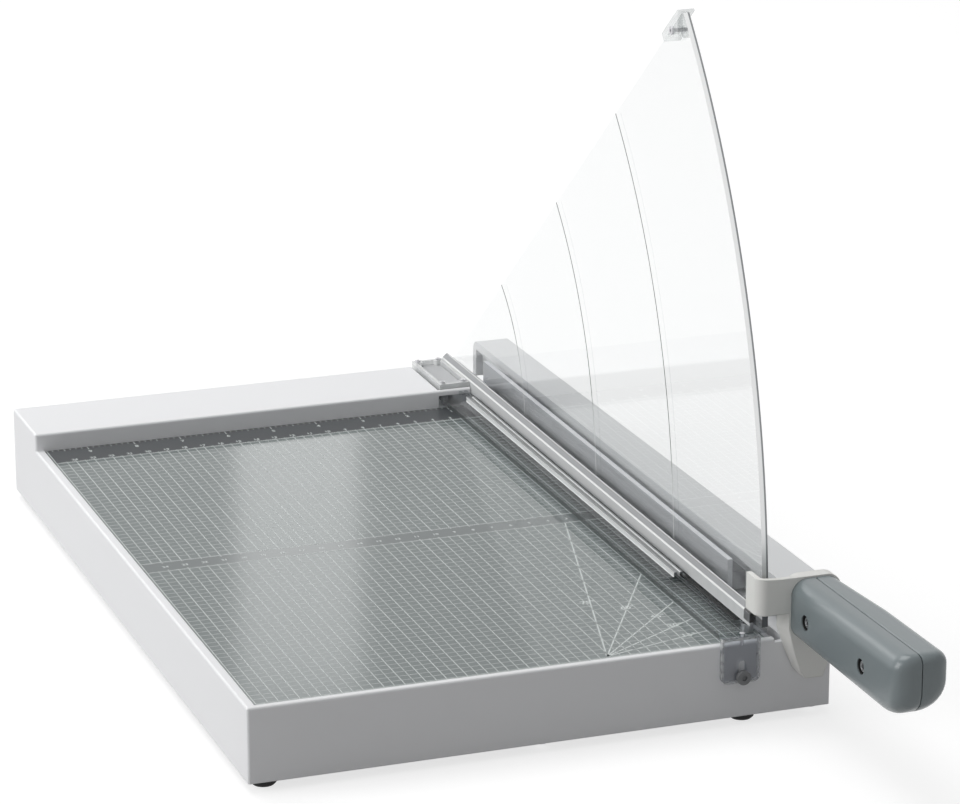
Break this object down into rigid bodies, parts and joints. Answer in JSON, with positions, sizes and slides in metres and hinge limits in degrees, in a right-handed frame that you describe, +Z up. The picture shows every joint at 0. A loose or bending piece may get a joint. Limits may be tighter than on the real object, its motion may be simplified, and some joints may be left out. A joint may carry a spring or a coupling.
{
  "type": "paper trimmer",
  "caption": "Table-top lever paper trimmer: printed steel bed in a shallow white base, hinged blade lever with grey handle, clear guard fan and sprung clear press bar.",
  "frame": {"origin": "Under the middle of the whole object's box, on the table plane that the feet stand on.", "axes": "+Z up; +X across the bed toward the lever's side; +Y away from the user, along the cutting line."},
  "size_m": [0.288, 0.559, 0.3191],
  "materials": {
    "white_paint": "smooth satin white paint",
    "printed_steel": "satin grey with a white printed grid",
    "dark_sheet": "plain dark sheet",
    "zinc_screw": "zinc-plated",
    "black_rubber": "matt black rubber",
    "tool_steel": "ground steel",
    "lever_paint": "satin light grey paint",
    "bronze": "plain bearing bronze",
    "grey_aluminium": "grey anodised",
    "cream_plastic": "warm off-white plastic",
    "grey_plastic": "blue-grey moulded plastic",
    "insert_grey": "light grey insert",
    "clear_plastic": "clear polished plastic"
  },
  "bodies": {
    "base": {"base_housing": "white_paint", "bed_plate": "printed_steel", "bottom_plate": "dark_sheet", "bottom_screws": "zinc_screw", "feet": "black_rubber", "foot_screws": "zinc_screw", "bed_knife": "tool_steel", "knife_screws": "zinc_screw", "pivot_bracket": "tool_steel", "bracket_bolts": "zinc_screw", "pivot_bolt": "zinc_screw", "pivot_washers": "zinc_screw", "pivot_nut": "zinc_screw", "guide_screw": "zinc_screw", "guide_pins": "zinc_screw", "front_spring": "zinc_screw", "rear_spring": "zinc_screw"},
    "lever": {"lever_channel": "lever_paint", "pivot_bush": "bronze", "blade_holder": "grey_aluminium", "holder_screws": "zinc_screw", "blade": "tool_steel", "blade_screws": "zinc_screw", "knuckle_guard": "cream_plastic", "handle_tang": "tool_steel", "tang_bolts": "zinc_screw", "handle_left": "grey_plastic", "handle_right": "grey_plastic", "handle_screws": "zinc_screw", "handle_nuts": "zinc_screw"},
    "press": {"press_bar": "clear_plastic", "guard_fan": "clear_plastic", "fan_pins": "clear_plastic", "front_bracket": "clear_plastic", "bracket_screw": "zinc_screw", "rear_tray": "clear_plastic", "tray_plate": "insert_grey", "tray_screws": "zinc_screw", "grip_strip": "black_rubber", "tip_clip": "clear_plastic", "tip_screws": "zinc_screw"}
  },
  "joints": [
    {"name": "lever_hinge", "type": "hinge", "parent": "base", "child": "lever", "pos_m": [0.12575, 0.2475, 0.0445], "axis": [-1, 0, 0], "range_deg": [0, 36]},
    {"name": "press_slide", "type": "slide", "parent": "base", "child": "press", "axis": [0, 0, -1], "range_m": [0, 0.0034], "stiffness_N_per_m": 1500, "springref_m": -0.003, "deforming": ["front_spring", "rear_spring"]}
  ]
}
